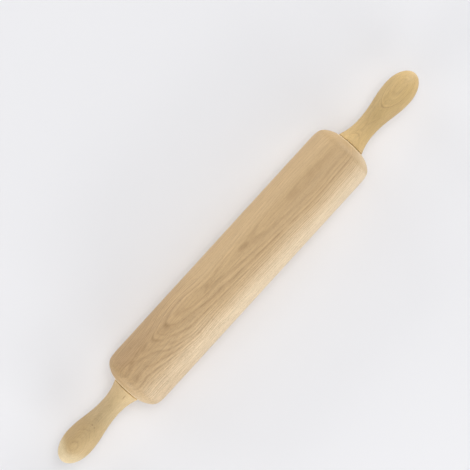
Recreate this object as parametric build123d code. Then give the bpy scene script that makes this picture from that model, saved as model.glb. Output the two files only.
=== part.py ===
from build123d import *

import math
import os

# A revolving rolling pin. A turned hardwood barrel runs on two ball bearings round one steel rod,
# and a turned handle is pressed on each end of the rod.
# +X runs along the pin towards the right handle and +Z is up. The origin is the barrel's centre,
# on the pin's axis. Lengths are in millimetres and angles in degrees.

# Barrel
barrel_length = 279.0
barrel_diameter = 57.0
barrel_bore_diameter = 12.0
barrel_land_diameter = 28.0
# Each end rounds over in a slow arc and a tight one, then crowns to the flat land
end_rounding_length = 16.5
slow_arc_radius = 30.0
slow_arc_turn = 12.0
tight_arc_radius = 9.3
tight_arc_turn = 37.0
seat_mouth_chamfer = 0.5
seat_relief_depth = 1.5

# Handles
handle_length = 81.7
handle_gap = 0.5
collar_diameter = 25.5
collar_edge_radius = 0.8
neck_diameter = 17.95
grip_diameter = 26.7
neck_place_share = 0.242
grip_place_share = 0.734
# The swell's steepest slope over its mean slope, and the neck's share of its two bends
swell_steepness = 1.62
neck_bend_share = 0.545

# Rod
rod_diameter = 8.0
rod_grip_length = 54.0
rod_end_chamfer = 0.6
blind_end_room = 2.0
knurl_length = 32.0
knurl_depth = 0.25
knurl_bite = 0.15
knurl_groove_width = 0.7
knurl_count = 12

# Ball bearings: outer diameter, width and balls are those of the common 8 x 22 x 7 size
bearing_outer_diameter = 22.0
bearing_width = 7.0
bearing_recess = 0.3
ring_edge_chamfer = 0.3
ball_diameter = 3.969
ball_count = 7
race_clearance = 0.015
race_conformity_share = 0.52
ring_shoulder_share = 0.37
recess_wall_share = 0.36

# Shields, their clips and the cage
shield_thickness = 0.3
shield_clearance = 0.35
clip_thickness = 0.4
clip_height = 0.7
clip_groove_depth = 0.3
clip_lip = 0.05
clip_arc = 330.0
cage_clearance = 0.3
cage_half_thickness_share = 0.23
cage_claw_share = 0.65
cage_slot_width = 1.1
cage_slot_floor = 0.2
pocket_clearance = 0.1

# Spacer washers
washer_margin = 0.35

# One overrun serves all cuts
cut_overrun = 1.0

half_length = barrel_length / 2
barrel_radius = barrel_diameter / 2
bore_radius = barrel_bore_diameter / 2
land_radius = barrel_land_diameter / 2
rod_radius = rod_diameter / 2
ball_radius = ball_diameter / 2
half_width = bearing_width / 2
seat_radius = bearing_outer_diameter / 2
pitch_radius = (rod_radius + seat_radius) / 2
inner_shoulder_radius = pitch_radius - ring_shoulder_share * ball_diameter
outer_shoulder_radius = pitch_radius + ring_shoulder_share * ball_diameter
groove_radius = race_conformity_share * ball_diameter
recess_radius = outer_shoulder_radius + recess_wall_share * (seat_radius - outer_shoulder_radius)
recess_depth = shield_thickness + clip_thickness + clip_lip
clip_place = half_width - recess_depth + shield_thickness + clip_thickness / 2
clip_radius = recess_radius + clip_groove_depth
bearing_centre = half_length - bearing_recess - half_width
collar_face = half_length + handle_gap


def on_side(shape, side):
    """The right-hand shape as it is, or turned half round to the left-hand end."""
    return shape if side == "right" else Rot(0, 0, 180) * shape


def ring(inner_radius, outer_radius, low, high):
    """A plain ring round the X axis between two places along it."""
    with BuildPart() as part:
        with BuildSketch(Plane.XY):
            with BuildLine():
                Polyline(
                    (low, inner_radius),
                    (high, inner_radius),
                    (high, outer_radius),
                    (low, outer_radius),
                    close=True,
                )
            make_face()
        revolve(axis=Axis.X)
    return part.part


def barrel():
    """Cylinder with crowned ends, a through bore, and a stepped bearing seat in each end."""
    rounding_start = half_length - end_rounding_length
    seat_floor = bearing_centre - half_width
    relief_floor = seat_floor - seat_relief_depth
    with BuildPart() as part:
        with BuildSketch(Plane.XY):
            with BuildLine():
                Polyline(
                    (relief_floor, bore_radius),
                    (relief_floor, outer_shoulder_radius),
                    (seat_floor, outer_shoulder_radius),
                    (seat_floor, seat_radius),
                    (half_length - seat_mouth_chamfer, seat_radius),
                    (half_length, seat_radius + seat_mouth_chamfer),
                    (half_length, land_radius),
                )
                slow = JernArc(
                    start=(rounding_start, barrel_radius),
                    tangent=(1, 0),
                    radius=slow_arc_radius,
                    arc_size=-slow_arc_turn,
                )
                tight = JernArc(
                    start=slow @ 1,
                    tangent=slow % 1,
                    radius=tight_arc_radius,
                    arc_size=-tight_arc_turn,
                )
                TangentArc(tight @ 1, (half_length, land_radius), tangent=tight % 1)
                mirror(about=Plane.YZ)
                Line((-relief_floor, bore_radius), (relief_floor, bore_radius))
                Line((-rounding_start, barrel_radius), (rounding_start, barrel_radius))
            make_face()
        revolve(axis=Axis.X)
    return part.part


def knurl_grooves(start, end):
    """V-grooves along the rod's skin, evenly spaced round it."""
    with BuildPart() as part:
        with BuildSketch(Plane.YZ.offset(start)):
            with PolarLocations(rod_radius, knurl_count):
                Polygon(
                    (-knurl_depth, 0),
                    (knurl_depth, knurl_groove_width),
                    (knurl_depth, -knurl_groove_width),
                    align=None,
                )
        extrude(amount=end - start)
    return part.part


def axle_rod():
    """One steel rod from inside one handle to inside the other, knurled at both ends."""
    rod_end = collar_face + rod_grip_length
    with BuildPart() as part:
        with BuildSketch(Plane.XY):
            with BuildLine():
                Polyline(
                    (-rod_end, 0),
                    (-rod_end, rod_radius - rod_end_chamfer),
                    (rod_end_chamfer - rod_end, rod_radius),
                    (rod_end - rod_end_chamfer, rod_radius),
                    (rod_end, rod_radius - rod_end_chamfer),
                    (rod_end, 0),
                    close=True,
                )
            make_face()
        revolve(axis=Axis.X)
    grooves = knurl_grooves(rod_end - knurl_length, rod_end + cut_overrun)
    return part.part - grooves - on_side(grooves, "left")


def swell_arcs(neck, grip):
    """Concave arc, straight run and convex arc from the neck to the widest place, in the open line."""
    run = grip[0] - neck[0]
    rise = grip[1] - neck[1]
    slope = swell_steepness * math.atan2(rise, run)
    bends = (run * math.tan(slope) - rise) / (math.tan(slope) - math.tan(slope / 2))
    neck_bend = neck_bend_share * bends
    grip_bend = bends - neck_bend
    turn = math.degrees(slope)
    neck_arc = JernArc(start=neck, tangent=(1, 0), radius=neck_bend / math.sin(slope), arc_size=turn)
    grip_arc = JernArc(start=grip, tangent=(-1, 0), radius=grip_bend / math.sin(slope), arc_size=turn)
    Line(neck_arc @ 1, grip_arc @ 1)


def handle_blank():
    """The turned outside: flared collar, neck, swelling grip and rounded tip."""
    collar_radius = collar_diameter / 2
    tip = (collar_face + handle_length, 0)
    flare_start = (collar_face + collar_edge_radius, collar_radius)
    neck = (collar_face + neck_place_share * handle_length, neck_diameter / 2)
    grip = (collar_face + grip_place_share * handle_length, grip_diameter / 2)
    with BuildPart() as part:
        with BuildSketch(Plane.XY):
            with BuildLine():
                Polyline(tip, (collar_face, 0), (collar_face, collar_radius - collar_edge_radius))
                JernArc(
                    start=(collar_face, collar_radius - collar_edge_radius),
                    tangent=(0, 1),
                    radius=collar_edge_radius,
                    arc_size=-90,
                )
                TangentArc(neck, flare_start, tangent=(-1, 0))
                swell_arcs(neck, grip)
                EllipticalCenterArc(
                    center=(grip[0], 0),
                    x_radius=tip[0] - grip[0],
                    y_radius=grip[1],
                    start_angle=0,
                    arc_size=90,
                )
            make_face()
        revolve(axis=Axis.X)
    return part.part


def handle(rod):
    """The turned handle with its blind bore, where the wood fills the rod's knurl."""
    bore_end = collar_face + rod_grip_length + blind_end_room
    pilot = ring(0, rod_radius - knurl_bite, collar_face - cut_overrun, bore_end)
    return handle_blank() - pilot - rod


def bearing_section(inner_radius, outer_radius, groove_centre_radius):
    """Half section of a bearing ring with its ball groove, in the sketch that is open."""
    with Locations((0, (inner_radius + outer_radius) / 2)):
        Rectangle(bearing_width, outer_radius - inner_radius)
    with Locations((0, groove_centre_radius)):
        Circle(groove_radius, mode=Mode.SUBTRACT)


def inner_ring():
    """Ring on the rod, with its ball groove outside."""
    groove_floor = pitch_radius - ball_radius - race_clearance
    with BuildPart() as part:
        with BuildSketch(Plane.XY) as section:
            bearing_section(rod_radius, inner_shoulder_radius, groove_floor + groove_radius)
            bore_corners = section.vertices().group_by(Axis.Y)[0]
            chamfer(bore_corners, ring_edge_chamfer)
        revolve(axis=Axis.X)
    return Pos(bearing_centre, 0, 0) * part.part


def outer_ring():
    """Ring in the barrel's seat, with its ball groove inside and a shield recess in each face."""
    groove_floor = pitch_radius + ball_radius + race_clearance
    wall = recess_radius - outer_shoulder_radius
    with BuildPart() as part:
        with BuildSketch(Plane.XY) as section:
            bearing_section(outer_shoulder_radius, seat_radius, groove_floor - groove_radius)
            rim_corners = section.vertices().group_by(Axis.Y)[-1]
            chamfer(rim_corners, ring_edge_chamfer)
            for face in (-1, 1):
                with Locations((face * (half_width - recess_depth / 2), outer_shoulder_radius + wall / 2)):
                    Rectangle(recess_depth, wall, mode=Mode.SUBTRACT)
                with Locations((face * clip_place, clip_radius - clip_height / 2)):
                    Rectangle(clip_thickness, clip_height, mode=Mode.SUBTRACT)
        revolve(axis=Axis.X)
    return Pos(bearing_centre, 0, 0) * part.part


def balls():
    """The full set of balls, evenly spaced on the pitch circle."""
    with BuildPart(Plane.YZ.offset(bearing_centre)) as part:
        with PolarLocations(pitch_radius, ball_count):
            Sphere(ball_radius)
    return part.part


def cage():
    """Crown cage: a ring behind the balls whose claws reach between them, with drilled pockets."""
    half_thickness = cage_half_thickness_share * ball_diameter
    back = bearing_centre - half_width + recess_depth + cage_clearance
    front = bearing_centre + cage_claw_share * ball_radius
    slot_floor = bearing_centre + cage_slot_floor
    slot_length = 2 * (half_thickness + cut_overrun)
    with BuildPart() as part:
        add(ring(pitch_radius - half_thickness, pitch_radius + half_thickness, back, front))
        with Locations(Plane.YZ.offset(bearing_centre)):
            with PolarLocations(pitch_radius, ball_count):
                Cylinder(
                    ball_radius + pocket_clearance,
                    slot_length,
                    rotation=(0, 90, 0),
                    mode=Mode.SUBTRACT,
                )
        with Locations(Plane.YZ.offset(slot_floor)):
            with PolarLocations(pitch_radius, ball_count, start_angle=180 / ball_count):
                Box(
                    slot_length,
                    cage_slot_width,
                    front - slot_floor + cut_overrun,
                    align=(Align.CENTER, Align.CENTER, Align.MIN),
                    mode=Mode.SUBTRACT,
                )
    return part.part


def shield(face):
    """Thin disc over one face of the bearing, seated in the outer ring's recess."""
    seat = half_width - recess_depth
    low, high = sorted((face * seat, face * (seat + shield_thickness)))
    return ring(
        inner_shoulder_radius + shield_clearance,
        recess_radius,
        bearing_centre + low,
        bearing_centre + high,
    )


def shield_clip(face):
    """Split ring of flat wire that snaps into its groove and holds the shield."""
    with BuildPart() as part:
        with BuildSketch(Plane.XY):
            with Locations((bearing_centre + face * clip_place, clip_radius - clip_height / 2)):
                Rectangle(clip_thickness, clip_height)
        revolve(axis=Axis.X, revolution_arc=clip_arc)
    return part.part


def spacer_washer():
    """Washer between the bearing's inner ring and the handle's collar."""
    inner_face = half_length - bearing_recess
    return ring(rod_radius, inner_shoulder_radius - washer_margin, inner_face, collar_face)


def write(name, shape):
    """One file for one piece."""
    shape.label = name
    export_step(shape, f"parts/{name}.step")


os.makedirs("parts", exist_ok=True)

rod = axle_rod()
write("barrel", barrel())
write("axle_rod", rod)

end_pieces = {
    "handle": handle(rod),
    "spacer_washer": spacer_washer(),
    "bearing_outer_ring": outer_ring(),
    "bearing_inner_ring": inner_ring(),
    "bearing_balls": balls(),
    "bearing_cage": cage(),
    "bearing_outboard_shield": shield(1),
    "bearing_inboard_shield": shield(-1),
    "bearing_outboard_clip": shield_clip(1),
    "bearing_inboard_clip": shield_clip(-1),
}
for side in ("left", "right"):
    for piece, shape in end_pieces.items():
        write(f"{side}_{piece}", on_side(shape, side))
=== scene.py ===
import math

import bpy
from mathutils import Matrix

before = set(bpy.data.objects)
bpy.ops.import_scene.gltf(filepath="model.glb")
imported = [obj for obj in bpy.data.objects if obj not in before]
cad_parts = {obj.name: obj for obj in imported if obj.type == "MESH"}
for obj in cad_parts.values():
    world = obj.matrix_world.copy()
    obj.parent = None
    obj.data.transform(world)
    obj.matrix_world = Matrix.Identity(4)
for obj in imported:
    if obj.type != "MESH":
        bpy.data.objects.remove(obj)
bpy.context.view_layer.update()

# Lengths in the wood are in millimetres and the rest in metres. +X runs along the pin, and the
# photograph looks straight down on it.
MM = 1000.0
FLOOR = -0.0285
FLOOR_RADIUS = 2.4

# Camera: how far above the pin's axis, where over it, how it is turned, and the picture's width
CAMERA_HEIGHT = 1.5
CAMERA_OVER = (0.0180, 0.0203)
CAMERA_TURN = -47.58
PICTURE_WIDTH = 0.3974
SENSOR_WIDTH = 36.0

# Strength of the surround that lights the pin, and of the backdrop that the camera sees
SURROUND = 0.22
BACKDROP = 0.86

# Noise drawn out along the wood: lengths along and across, detail and roughness
SLOW_NOISE = (46.0, 15.0, 2.0, 0.5)
QUICK_NOISE = (9.0, 5.0, 3.0, 0.6)
FADE_NOISE = (40.0, 9.0, 3.0, 0.6)
FIBRE_NOISE = (18.0, 0.45, 4.0, 0.62)
STREAK_NOISE = (13.0, 0.9, 3.0, 0.6)
BAND_NOISE = (70.0, 3.0, 3.0, 0.55)
# The fibres, streaks and bands lean aside by this much of the slow noise
FIBRE_LEAN = 1.2
# Faint turning marks along the piece: how many to the millimetre, and detail
TURNING_NOISE = (2.3, 3.0)

# Lengths along, across and up of the dashes in a growth line and of the flecks
DASH_SIZE = (8.0, 0.7, 30.0)
FLECK_SIZE = (3.0, 0.7, 0.7)

# Smooth steps: from, to, low and high. A dash or a stretch of a growth line never fades out whole,
# and the lines grow faint where the surface turns towards the piece's ends.
DASH_STEP = (-0.22, 0.16, 0.3, 1.0)
FADE_STEP = (-0.25, 0.1, 0.45, 1.0)
END_LINE_STEP = (0.35, 0.85, 1.0, 0.15)
FLECK_STEP = (0.3, 0.08)

# Fine growth lines: how unevenly they lie, where in its pitch a line starts and is darkest, and the
# least strength of one
RING_UNEVEN_SCALE = 0.35
RING_UNEVEN = 1.8
LINE_START = 0.45
LINE_DARKEST = 0.87
LINE_LEAST = 0.3

# Named growth lines, in widths of the line: where the dark tails off, and where the pale edge starts,
# is palest and ends. The last is the length over which a stretch fades in or out.
DARK_TAIL = 0.35
PALE_START = 0.2
PALEST = 0.8
PALE_END = 2.4
STRETCH_FADE = 4.0

# How much each layer changes the wood's tone, its height and its roughness
FLECK_SHARE = 0.36
FIBRE_TONE = 0.32
STREAK_TONE = 0.38
BAND_TONE = 0.1
PALE_TONE = 0.1
FIBRE_HEIGHT = 0.6
LINE_HEIGHT = -0.5
FLECK_HEIGHT = -0.7
TURNING_HEIGHT = 0.5
WOOD_ROUGHNESS = 0.56
FIBRE_ROUGHNESS = 0.18
LINE_ROUGHNESS = 0.06
WOOD_BUMP = (0.35, 0.00006)

# Steel and nylon: the scale of each pattern, and how much it changes tone and roughness
MOTTLE_SCALE = 0.5
STEEL_LINE_TONE = 0.14
STEEL_MOTTLE_TONE = 0.12
STEEL_LINE_ROUGHNESS = 0.16
STEEL_MOTTLE_ROUGHNESS = 0.12
STEEL_BUMP = (0.2, 0.00002)
SKIN_SCALE = 6.0
CLOUD_NOISE = (0.4, 2.0, 0.5)
NYLON_ROUGHNESS = 0.48
NYLON_CLOUD_TONE = 0.12
NYLON_SKIN_TONE = 0.04
NYLON_SKIN_ROUGHNESS = 0.12
NYLON_BUMP = (0.15, 0.00003)


def linear(red, green, blue):
    """A colour written as 0 to 255 in the picture, as the linear numbers that a shader takes."""
    shares = [channel / 255 for channel in (red, green, blue)]
    return tuple(c / 12.92 if c <= 0.04045 else ((c + 0.055) / 1.055) ** 2.4 for c in shares) + (1.0,)


class Shader:
    """One material's nodes. Each call adds a node and gives back its output."""

    def __init__(self, name):
        self.material = bpy.data.materials.new(name)
        self.material.use_nodes = True
        self.nodes = self.material.node_tree.nodes
        self.links = self.material.node_tree.links
        self.nodes.clear()

    def put(self, socket, value):
        if isinstance(value, bpy.types.NodeSocket):
            self.links.new(value, socket)
        else:
            socket.default_value = value

    def node(self, kind, values=None, out=0, **settings):
        node = self.nodes.new("ShaderNode" + kind)
        for key, value in settings.items():
            setattr(node, key, value)
        for key, value in (values or {}).items():
            self.put(node.inputs[key], value)
        return node.outputs[out]

    def math(self, operation, *values):
        return self.node("Math", dict(enumerate(values)), operation=operation)

    def chain(self, operation, values):
        result = values[0]
        for value in values[1:]:
            result = self.math(operation, result, value)
        return result

    def total(self, *values):
        return self.chain("ADD", values)

    def times(self, *values):
        return self.chain("MULTIPLY", values)

    def less(self, value, taken):
        return self.math("SUBTRACT", value, taken)

    def over(self, value, divisor):
        return self.math("DIVIDE", value, divisor)

    def length(self, first, second):
        """The length of the two numbers taken as the sides of a right angle."""
        return self.math("SQRT", self.total(self.times(first, first), self.times(second, second)))

    def step(self, value, start, end, low=0.0, high=1.0):
        """A smooth step from low to high as the value goes from start to end."""
        values = {"Value": value, "From Min": start, "From Max": end, "To Min": low, "To Max": high}
        return self.node("MapRange", values, interpolation_type="SMOOTHSTEP")

    def vector(self, x, y, z):
        return self.node("CombineXYZ", {0: x, 1: y, 2: z})

    def stretched(self, place, size):
        """The place measured in lengths of its own along each axis."""
        return self.vector(*(self.over(part, length) for part, length in zip(place, size)))

    def split(self, vector):
        parts = self.nodes.new("ShaderNodeSeparateXYZ")
        self.put(parts.inputs[0], vector)
        return tuple(parts.outputs)

    def noise(self, vector, scale=1.0, detail=3.0, roughness=0.6):
        """Noise about zero, from about -0.5 to 0.5."""
        values = {"Vector": vector, "Scale": scale, "Detail": detail, "Roughness": roughness}
        return self.less(self.node("TexNoise", values), 0.5)

    def noise_along(self, value, scale=1.0, detail=1.0):
        """Noise about zero that changes with one number."""
        values = {"W": value, "Scale": scale, "Detail": detail}
        return self.less(self.node("TexNoise", values, noise_dimensions="1D"), 0.5)

    def mix(self, factor, first, second):
        values = {0: factor, 6: first, 7: second}
        return self.node("Mix", values, out=2, data_type="RGBA", clamp_factor=True)

    def shade(self, colour, factor):
        """The colour with its brightness times the factor."""
        first = colour[:3] if isinstance(colour, tuple) else colour
        return self.node("VectorMath", {0: first, "Scale": factor}, operation="SCALE")

    def bump(self, height, strength, distance):
        values = {"Strength": strength, "Distance": distance, "Height": height}
        return self.node("Bump", values)

    def place(self):
        """x, y and z in the piece's own frame, in millimetres."""
        values = {0: self.node("TexCoord", out="Object"), "Scale": MM}
        return self.split(self.node("VectorMath", values, operation="SCALE"))

    def finish(self, values):
        output = self.nodes.new("ShaderNodeOutputMaterial")
        self.put(output.inputs["Surface"], self.node("BsdfPrincipled", values))
        return self.material


# A rounded end's growth lines are those of the full radius: how far outward they are taken from at
# most, and how closely they follow
CROWN_REACH = 4.0
CROWN_FOLLOW = 0.85
# How far aside of the crest the lines have bent down in full
BEND_WIDTH = 16.0


def across_grain(s, x, y, z, look):
    """How far a point lies from the pith, less the pith's depth under the axis, as if the tree stood
    level, and how far it lies aside of the figure's crest. The growth lines may bend down sooner on
    the crest's +Y side, and may follow a rounded end."""
    if look["follow"]:
        outward = s.math("MAXIMUM", s.over(look["follow"], s.length(y, z)), 1.0)
        outward = s.math("POWER", s.math("MINIMUM", outward, CROWN_REACH), CROWN_FOLLOW)
        y, z = s.times(y, outward), s.times(z, outward)
    turn, skew = look["crest"](s, x)
    sine, cosine = s.math("SINE", turn), s.math("COSINE", turn)
    up = s.total(s.times(y, sine), s.times(z, cosine))
    aside = s.less(s.times(y, cosine), s.times(z, sine))
    level = s.less(s.length(s.total(up, look["pith"]), aside), look["pith"])
    return s.less(level, s.times(s.step(aside, 0.0, BEND_WIDTH), skew)), aside


def fine_rings(s, height, pitch, seed):
    """Thin growth lines, each with a strength of its own. 0 is between lines, 1 on the darkest."""
    uneven = s.times(s.noise_along(height, RING_UNEVEN_SCALE), RING_UNEVEN)
    count = s.total(s.over(height, pitch), uneven, seed)
    through = s.math("FRACT", count)
    strength = s.node("TexWhiteNoise", {"W": s.math("FLOOR", count)}, noise_dimensions="1D")
    line = s.times(s.step(through, LINE_START, LINE_DARKEST), s.step(through, 1.0, LINE_DARKEST))
    return s.times(line, s.total(s.times(strength, 1.0 - LINE_LEAST), LINE_LEAST))


def named_rings(s, height, x, rings):
    """Growth lines that stand out: dark, soft towards the bark's side, with a pale edge inside. Some
    are there only along a stretch of the piece."""
    dark, pale = 0.0, 0.0
    for place, width, strength, *stretch in rings:
        if stretch:
            start, end = stretch
            there = s.times(
                s.step(x, start - STRETCH_FADE, start + STRETCH_FADE),
                s.step(x, end + STRETCH_FADE, end - STRETCH_FADE),
            )
            strength = s.times(there, strength)
        rise = s.step(height, place - width, place)
        fall = s.step(height, place + DARK_TAIL * width, place)
        dark = s.math("MAXIMUM", dark, s.times(rise, fall, strength))
        rise = s.step(height, place + PALE_START * width, place + PALEST * width)
        fall = s.step(height, place + PALE_END * width, place + PALEST * width)
        pale = s.math("MAXIMUM", pale, s.times(rise, fall, strength))
    return dark, pale


# A smudge fades out between these shares of its radii, and is there only above the axis
SMUDGE_EDGE = (1.2, 0.4)
UPPER_SIDE = (0.0, 2.0)


def smudges(s, x, y, z, uneven, marks):
    """Soft dark marks on the upper side: each has a place along and across, two radii and a
    strength."""
    dark = 0.0
    for along, across, length, width, strength in marks:
        away = s.length(s.over(s.less(x, along), length), s.over(s.less(y, across), width))
        away = s.total(away, uneven)
        dark = s.math("MAXIMUM", dark, s.step(away, *SMUDGE_EDGE, 0.0, strength))
    return s.times(dark, s.step(z, *UPPER_SIDE))


def wood(name, look):
    """Pale close-grained hardwood: growth lines, fibres, flecks and end grain, in the round."""
    s = Shader(name)
    x, y, z = s.place()
    level, aside = across_grain(s, x, y, z, look)

    def grain_noise(kind, beside=y):
        """Noise drawn out along the piece."""
        along, across, detail, roughness = kind
        return s.noise(s.stretched((x, beside, z), (along, across, across)), 1.0, detail, roughness)

    slow = grain_noise(SLOW_NOISE)
    quick = grain_noise(QUICK_NOISE)
    height = s.total(
        level,
        look["drift"](s, x, aside),
        s.times(slow, look["slow_wobble"]),
        s.times(quick, look["quick_wobble"]),
    )
    along_normal = s.math("ABSOLUTE", s.split(s.node("TexCoord", out="Normal"))[0])

    # Each growth line comes and goes along its length
    dashes = s.step(s.noise(s.stretched((x, height, z), DASH_SIZE)), *DASH_STEP)
    fade = s.step(grain_noise(FADE_NOISE), *FADE_STEP)
    fine = s.times(fine_rings(s, height, look["pitch"], look["seed"]), look["fine"])
    dark, pale = named_rings(s, height, x, look["named"])
    lines = s.times(
        s.math("MAXIMUM", fine, dark),
        dashes,
        fade,
        s.step(along_normal, *END_LINE_STEP),
        look["presence"](s, x, aside),
    )
    pale = s.times(pale, dashes, fade)

    # Fibres run nearly along the piece, in threads, streaks and broad bands
    leaning = s.total(y, s.times(slow, FIBRE_LEAN))
    fibres = grain_noise(FIBRE_NOISE, leaning)
    streaks = grain_noise(STREAK_NOISE, leaning)
    bands = grain_noise(BAND_NOISE, leaning)

    # Rays are cut as short dark flecks along the grain
    cells_at = s.stretched((x, leaning, z), FLECK_SIZE)
    cells = s.node("TexVoronoi", {"Vector": cells_at, "Scale": 1.0, "Randomness": 1.0}, out="Distance")
    flecks = s.step(cells, *FLECK_STEP)

    # The texture is stronger in some places than in others
    coarse = look["coarse"](s, x, y)

    # The grain's ends show where the surface turns towards the piece's ends. On the handles their paler
    # colour is partly painted light on the tips that face the ends.
    end_grain_and_light_colour, end_from, end_to, end_share = look["end"]
    facing_end = s.step(along_normal, end_from, end_to)

    colour = look["ground"](s, x, level, aside, s.total(bands, slow))
    colour = s.mix(s.times(lines, look["line_share"]), colour, look["line"])
    colour = s.mix(smudges(s, x, y, z, quick, look["smudges"]), colour, look["line"])
    colour = s.mix(s.times(flecks, s.times(coarse, FLECK_SHARE)), colour, look["fleck"])
    # Partly painted light: on the handles the pale end colour lights the tips that face the ends
    colour = s.mix(s.times(facing_end, end_share), colour, end_grain_and_light_colour)
    # Painted highlight: a pale rim at each joint, a catch-light on the barrel's end edges and painted
    # light on the handles' inboard faces
    colour = s.mix(s.step(s.math("ABSOLUTE", x), *look["rim_painted_light"]), colour, look["rim_painted_light_colour"])
    brightness = s.total(
        1.0,
        s.times(fibres, coarse, FIBRE_TONE),
        s.times(streaks, coarse, STREAK_TONE),
        s.times(bands, BAND_TONE),
        s.times(pale, PALE_TONE),
    )
    relief = s.total(
        s.times(fibres, FIBRE_HEIGHT),
        s.times(lines, LINE_HEIGHT),
        s.times(flecks, FLECK_HEIGHT),
        s.times(s.noise_along(x, *TURNING_NOISE), TURNING_HEIGHT),
    )
    roughness = s.total(
        WOOD_ROUGHNESS,
        s.times(fibres, FIBRE_ROUGHNESS),
        s.times(lines, LINE_ROUGHNESS),
    )
    return s.finish(
        {
            "Base Color": s.shade(colour, brightness),
            "Roughness": roughness,
            "Specular IOR Level": look["gloss"],
            "Normal": s.bump(relief, *WOOD_BUMP),
        }
    )


def metal(name, colour, roughness, grain):
    """Ground or drawn steel: fine lines round the pin's axis over faint mottling."""
    s = Shader(name)
    x, y, z = s.place()
    lines = s.noise(s.vector(s.times(x, grain), s.times(s.length(y, z), grain), 0.0))
    mottle = s.noise(s.vector(x, y, z), MOTTLE_SCALE)
    tone = s.total(1.0, s.times(lines, STEEL_LINE_TONE), s.times(mottle, STEEL_MOTTLE_TONE))
    rough = s.total(
        roughness,
        s.times(lines, STEEL_LINE_ROUGHNESS),
        s.times(mottle, STEEL_MOTTLE_ROUGHNESS),
    )
    return s.finish(
        {
            "Base Color": s.shade(colour, tone),
            "Metallic": 1.0,
            "Roughness": rough,
            "Normal": s.bump(lines, *STEEL_BUMP),
        }
    )


def nylon(name, colour):
    """Moulded plastic with a fine eggshell skin."""
    s = Shader(name)
    place = s.vector(*s.place())
    skin = s.noise(place, SKIN_SCALE)
    cloud = s.noise(place, *CLOUD_NOISE)
    tone = s.total(1.0, s.times(cloud, NYLON_CLOUD_TONE), s.times(skin, NYLON_SKIN_TONE))
    return s.finish(
        {
            "Base Color": s.shade(colour, tone),
            "Roughness": s.total(NYLON_ROUGHNESS, s.times(skin, NYLON_SKIN_ROUGHNESS)),
            "Normal": s.bump(skin, *NYLON_BUMP),
        }
    )


# The barrel's figure. Each step goes from one x to another, and from one value to another.
CREST_TURN = (-62.0, -22.0, math.radians(25.5), math.radians(17.5))
CREST_SKEW = (-98.0, -66.0, 5.0, 1.6)
# The climb is in millimetres to the millimetre, and is nothing at its middle
CLIMB = 0.023
CLIMB_MIDDLE = 14.5
RISE = (-115.5, -57.5, -1.5, 0.6)
FALL = (-55.0, -18.0, 0.0, -0.72)
HUMP = (-133.0, -116.0, 0.7, 0.0)
SETTLING = (78.0, 135.0, 0.0, -1.4)
# The dip is there from its reach aside towards the crest
DIP = (-98.0, -84.0, -0.45, 0.0)
DIP_ASIDE = (-13.0, -6.0)
# The lines spread with the square of how far aside they lie, from this square on
SPREAD = (-66.0, -26.0, 0.0075, 0.0)
SPREAD_FROM = 110.0
# Beyond the figure the lines lose this share
FAINT_SHARE = 0.75
FAINT_ASIDE = (2.0, 9.0)
FAINT_ALONG = (-55.0, -15.0)


def barrel_crest(s, x):
    """The figure's crest leans more to +Y in the left part, where lines also bend down sooner there."""
    return s.step(x, *CREST_TURN), s.step(x, *CREST_SKEW)


def barrel_drift(s, x, aside):
    """The barrel's grain climbs slowly to the right, and more steeply in the left part. Its lines lie
    further out there low on the -Y side."""
    climb = s.times(s.less(x, CLIMB_MIDDLE), CLIMB)
    swells = [s.step(x, *swell) for swell in (RISE, FALL, HUMP, SETTLING)]
    dip = s.times(s.step(x, *DIP), s.step(aside, *DIP_ASIDE))
    low = s.math("MINIMUM", aside, 0.0)
    spread = s.math("MAXIMUM", s.less(s.times(low, low), SPREAD_FROM), 0.0)
    return s.total(climb, *swells, dip, s.times(spread, s.step(x, *SPREAD)))


def barrel_presence(s, x, aside):
    """The growth lines are faint beyond the figure in the right part."""
    beyond = s.times(s.step(aside, *FAINT_ASIDE), s.step(x, *FAINT_ALONG))
    return s.less(1.0, s.times(beyond, FAINT_SHARE))


def even_presence(s, x, aside):
    """The growth lines are as strong all over a handle."""
    return 1.0


# Where the barrel's ground goes from its left tones to its right ones, from one tone to the other
# aside of the crest, and from the heart's tones, with their painted shade, to the pale ones low down.
# In the left part the +Y side is darker as painted shade, where less light falls. The pale tones low
# on the -Y side are partly paler wood and partly a painted highlight of the lit side. The hidden
# underside is pale on both sides. Patches move the first edge along and the low ones up and down.
LEFT_TO_RIGHT = (-125.0, -10.0)
LEFT_SHADE_ASIDE = (-12.0, 4.0)
RIGHT_ASIDE = (-4.0, 10.0)
LOW_LEVEL = (28.5, 14.0)
LOW_ASIDE = (2.0, -12.0)
HIDDEN_LEVEL = (17.0, 9.0)
PATCH_ALONG = 50.0
PATCH_LEVEL = 3.0


def barrel_ground(s, x, level, aside, patches):
    """Painted shade makes it darker on the figure's +Y side in the left part, where less light falls.
    It is paler low on the other side: partly paler wood, partly a painted highlight of the lit side.
    """
    along = s.step(s.total(x, s.times(patches, PATCH_ALONG)), *LEFT_TO_RIGHT)
    # Painted shade: in the left part the +Y side is darker, where less light falls
    left = s.mix(s.step(aside, *LEFT_SHADE_ASIDE), linear(185, 156, 117), linear(175, 145, 106))
    right = s.mix(s.step(aside, *RIGHT_ASIDE), linear(187, 158, 118), linear(192, 163, 122))
    heart_and_shade = s.mix(along, left, right)
    # Partly painted highlight: the pale low tones of the lit -Y side, partly paler wood
    pale = s.mix(along, linear(206, 183, 150), linear(220, 199, 167))
    uneven = s.total(level, s.times(patches, PATCH_LEVEL))
    under = s.math("MAXIMUM", s.step(aside, *LOW_ASIDE), s.step(uneven, *HIDDEN_LEVEL))
    return s.mix(s.times(s.step(uneven, *LOW_LEVEL), under), heart_and_shade, pale)


# The barrel's texture weakens along x plus this many times y
COARSE_SLOPE = 3.0
COARSE_STEP = (-200.0, 150.0, 1.9, 0.85)
# The patches' noise over which an even ground goes from one tone to the other
EVEN_PATCHES = (-0.4, 0.4)


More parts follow.
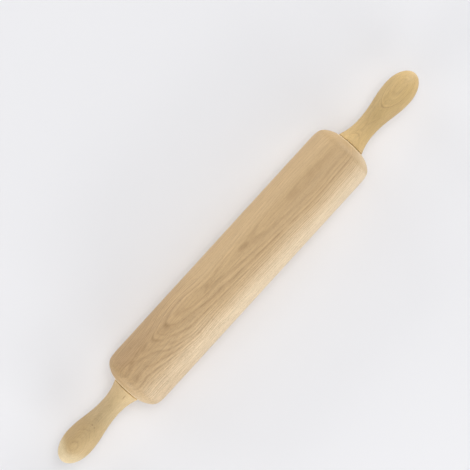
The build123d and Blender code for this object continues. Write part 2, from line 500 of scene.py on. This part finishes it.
def barrel_coarse(s, x, y):
    """How strong the barrel's texture is: most at the left on the -Y side, least at the right on +Y."""
    return s.step(s.total(s.times(y, COARSE_SLOPE), x), *COARSE_STEP)


def even_coarse(strength):
    """One strength of texture all over a handle."""
    return lambda s, x, y: strength


def even_crest(degrees):
    """A figure whose crest runs straight along a handle."""
    return lambda s, x: (math.radians(degrees), 0.0)


def even_ground(dark, pale):
    """A handle's ground: one tone that varies a little in patches."""
    return lambda s, x, level, aside, patches: s.mix(s.step(patches, *EVEN_PATCHES), dark, pale)


# The left handle's ground: where the grip's tones go over into those near the barrel, where aside of
# the crest they darken as painted shade on the +Y side, and where the pale tip starts, which reaches
# further in aside. The pale tip is partly end grain and partly painted light.
LEFT_NEAR = (-188.0, -165.0)
LEFT_NEAR_PATCHES = 12.0
LEFT_GRIP_SHADE_ASIDE = (-7.0, 9.0)
LEFT_TIP = (-208.0, -217.0)
LEFT_TIP_ASIDE = 0.55


def left_ground(s, x, level, aside, patches):
    """The left handle's ground: darkest in the middle of the grip on the +Y side, a painted shade where
    less light falls, and palest at the tip, partly end grain and partly painted light.
    """
    near = s.step(s.total(x, s.times(patches, LEFT_NEAR_PATCHES)), *LEFT_NEAR)
    dark = s.mix(near, linear(178, 151, 107), linear(188, 163, 122))
    pale = s.mix(near, linear(193, 167, 122), linear(200, 176, 133))
    # Painted shade: the grip is darker on its +Y side
    grip = s.mix(s.step(aside, *LEFT_GRIP_SHADE_ASIDE), pale, dark)
    in_from_tip = s.less(x, s.times(s.math("ABSOLUTE", aside), LEFT_TIP_ASIDE))
    # Partly painted light: the pale tip, partly end grain
    return s.mix(s.step(in_from_tip, *LEFT_TIP), grip, linear(200, 180, 142))


# The handles' grain: how fast it climbs, in millimetres to the millimetre, and from which x
RIGHT_CLIMB = 0.03
RIGHT_CLIMB_FROM = 198.0
RIGHT_TIP_CLIMB = (200.0, 224.0, 0.0, 3.1)
LEFT_CLIMB = -0.12
LEFT_CLIMB_FROM = -200.0


def right_drift(s, x, aside):
    """The right handle's grain climbs slowly, then steeply over the tip."""
    climb = s.times(s.less(x, RIGHT_CLIMB_FROM), RIGHT_CLIMB)
    return s.total(climb, s.step(x, *RIGHT_TIP_CLIMB))


def left_drift(s, x, aside):
    """The left handle's grain climbs towards its tip."""
    return s.times(s.less(x, LEFT_CLIMB_FROM), LEFT_CLIMB)


# Each wood's look. A named line has its place, width and strength, and may have the x where it starts
# and ends. A smudge is described above. The end has its colour, the shares of the normal along the
# piece where it starts and is full, and its strength: on the barrel a darker end grain, on the handles
# a paler colour that is partly end grain and partly painted light on the tips that face the ends. The
# rim is a step over the distance from the barrel's middle, and a painted highlight: a catch-light along
# the barrel's end edges, and on the handles painted light on the inboard faces that lightens the shade
# in the joints.
BARREL_LOOK = {
    "follow": 28.5,
    "crest": barrel_crest,
    "pith": 60.0,
    "drift": barrel_drift,
    "slow_wobble": 0.6,
    "quick_wobble": 0.28,
    "pitch": 1.15,
    "seed": 3.0,
    "fine": 0.9,
    "presence": barrel_presence,
    "named": (
        (15.1, 0.5, 0.6),
        (16.3, 0.4, 0.7),
        (17.4, 0.4, 0.5),
        (18.5, 0.4, 0.8),
        (19.7, 0.45, 0.8),
        (20.6, 0.4, 0.6),
        (21.5, 0.45, 0.9),
        (22.5, 0.45, 1.0),
        (23.5, 0.35, 0.8),
        (24.2, 0.3, 0.5),
        (25.1, 0.4, 0.9),
        (25.8, 0.25, 0.5),
        (26.5, 0.45, 1.0),
        (27.5, 0.3, 0.65, -34.0, 150.0),
        (28.6, 0.25, 0.4),
    ),
    "smudges": (
        (-114.0, 17.5, 27.0, 7.0, 0.22),
        (-106.0, 13.8, 11.0, 2.2, 0.3),
        (-75.7, 12.0, 2.6, 1.8, 0.35),
        (-29.5, 9.2, 3.2, 1.5, 0.3),
        (15.3, 8.7, 5.8, 2.7, 0.35),
        (75.3, 7.6, 7.0, 4.4, 0.14),
    ),
    "ground": barrel_ground,
    "line": linear(146, 116, 80),
    "line_share": 0.65,
    "fleck": linear(140, 110, 78),
    "end": (linear(160, 134, 94), 0.08, 0.5, 0.42),
    # Painted highlight: a pale catch-light along the edge of each of the barrel's ends
    "rim_painted_light": (138.3, 139.0, 0.0, 0.7),
    "rim_painted_light_colour": linear(230, 208, 168),
    "gloss": 0.35,
    "coarse": barrel_coarse,
}
HANDLE_LOOK = {
    **BARREL_LOOK,
    "follow": 0.0,
    "pitch": 0.9,
    "fine": 0.35,
    "presence": even_presence,
    # Painted light on the handles' inboard faces, which lightens the shade in the joints
    "rim_painted_light": (140.25, 140.1, 0.0, 0.8),
}
RIGHT_LOOK = {
    **HANDLE_LOOK,
    "crest": even_crest(8.0),
    "drift": right_drift,
    "slow_wobble": 0.7,
    "quick_wobble": 0.3,
    "seed": 11.0,
    "named": ((8.6, 0.3, 0.6, 138.0, 158.0), (10.76, 0.35, 0.85), (12.4, 0.25, 0.35)),
    # Partly painted light: a pale end colour on the tip, with end grain
    "end": (linear(208, 184, 142), 0.6, 1.0, 0.6),
    "smudges": (),
    "ground": even_ground(linear(190, 162, 111), linear(200, 171, 120)),
    "coarse": even_coarse(0.8),
}
LEFT_LOOK = {
    **HANDLE_LOOK,
    "crest": even_crest(3.0),
    "drift": left_drift,
    "slow_wobble": 0.8,
    "quick_wobble": 0.35,
    "seed": 23.0,
    "named": ((10.6, 0.3, 0.35), (12.6, 0.3, 0.4), (13.3, 0.2, 0.5)),
    # Partly painted light: a pale end colour on the tip, with end grain
    "end": (linear(214, 193, 154), 0.6, 1.0, 0.7),
    "smudges": (
        (-180.5, 1.2, 0.9, 0.9, 0.6),
        (-181.0, -1.9, 0.8, 0.8, 0.4),
        (-185.6, -0.3, 0.8, 0.8, 0.3),
        (-145.6, -2.8, 3.2, 0.7, 0.6),
    ),
    "ground": left_ground,
    "coarse": even_coarse(0.9),
}

# A steel has its colour, its roughness and how close its lines lie
materials = {
    "barrel": wood("barrel_wood", BARREL_LOOK),
    "right_handle": wood("right_handle_wood", RIGHT_LOOK),
    "left_handle": wood("left_handle_wood", LEFT_LOOK),
    "axle_rod": metal("drawn_steel", linear(196, 197, 200), 0.3, 9.0),
    "washer": metal("plain_steel", linear(186, 187, 190), 0.38, 7.0),
    "ring": metal("ground_steel", linear(200, 201, 204), 0.24, 12.0),
    "balls": metal("polished_steel", linear(214, 215, 218), 0.1, 4.0),
    "shield": metal("pressed_steel", linear(205, 205, 206), 0.34, 6.0),
    "clip": metal("spring_steel", linear(176, 177, 180), 0.36, 10.0),
    "cage": nylon("moulded_nylon", linear(232, 229, 215)),
}
for name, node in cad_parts.items():
    kind = next(key for key in materials if name.endswith(key))
    node.data.materials.clear()
    node.data.materials.append(materials[kind])


paper = {"Base Color": linear(232, 232, 235), "Roughness": 0.9, "Specular IOR Level": 0.2}
bpy.ops.mesh.primitive_circle_add(
    vertices=96,
    radius=FLOOR_RADIUS,
    fill_type="NGON",
    location=(0, 0, FLOOR),
)
floor = bpy.context.object
floor.name = "floor"
floor.data.materials.append(Shader("floor_paper").finish(paper))


def softbox(name, azimuth, elevation, distance, size, power):
    """A wide lamp that looks at the pin, in degrees, metres and watts. Azimuth 0 stands on the side of
    -Y, and 90 on that of +X."""
    turn, rise = math.radians(azimuth), math.radians(elevation)
    data = bpy.data.lights.new(name, "AREA")
    data.shape = "RECTANGLE"
    data.size, data.size_y = size
    data.energy = power
    lamp = bpy.data.objects.new(name, data)
    bpy.context.scene.collection.objects.link(lamp)
    lamp.location = (
        distance * math.sin(turn) * math.cos(rise),
        -distance * math.cos(turn) * math.cos(rise),
        distance * math.sin(rise),
    )
    lamp.rotation_euler = (math.pi / 2 - rise, 0, turn)
    lamp.visible_camera = False


softbox("key", -25, 13, 2.0, (1.5, 0.8), 17.7)
softbox("key_high", -25, 30, 2.0, (1.5, 0.8), 5.0)
softbox("fill", 180, 13, 3.0, (2.2, 1.2), 33.7)
softbox("fill_high", 180, 30, 3.0, (2.2, 1.2), 6.5)
softbox("top", 90, 80, 3.0, (1.3, 1.7), 30.5)
softbox("right_end", 90, 14, 3.0, (1.7, 1.0), 61.0)
softbox("left_end", 270, 14, 3.0, (1.7, 1.0), 50.0)

# The pin is lit by a plain grey surround, and the camera and reflections see a pale one
world = bpy.data.worlds.new("studio")
bpy.context.scene.world = world
world.use_nodes = True
world_nodes, world_links = world.node_tree.nodes, world.node_tree.links
background = world_nodes["Background"]
background.inputs["Color"].default_value = (1.0, 1.0, 1.0, 1.0)
rays = world_nodes.new("ShaderNodeLightPath")
seen = rays.outputs["Is Camera Ray"]
for ray in ("Is Glossy Ray", "Is Transmission Ray"):
    either = world_nodes.new("ShaderNodeMath")
    either.operation = "MAXIMUM"
    world_links.new(seen, either.inputs[0])
    world_links.new(rays.outputs[ray], either.inputs[1])
    seen = either.outputs[0]
strength = world_nodes.new("ShaderNodeMapRange")
strength.inputs["To Min"].default_value = SURROUND
strength.inputs["To Max"].default_value = BACKDROP
world_links.new(seen, strength.inputs["Value"])
world_links.new(strength.outputs[0], background.inputs["Strength"])

camera_data = bpy.data.cameras.new("camera")
camera_data.sensor_width = SENSOR_WIDTH
camera_data.lens = SENSOR_WIDTH * CAMERA_HEIGHT / PICTURE_WIDTH
camera = bpy.data.objects.new("camera", camera_data)
bpy.context.scene.collection.objects.link(camera)
camera.location = (*CAMERA_OVER, CAMERA_HEIGHT)
camera.rotation_euler = (0, 0, math.radians(CAMERA_TURN))
bpy.context.scene.camera = camera
bpy.context.scene.view_settings.view_transform = "Standard"
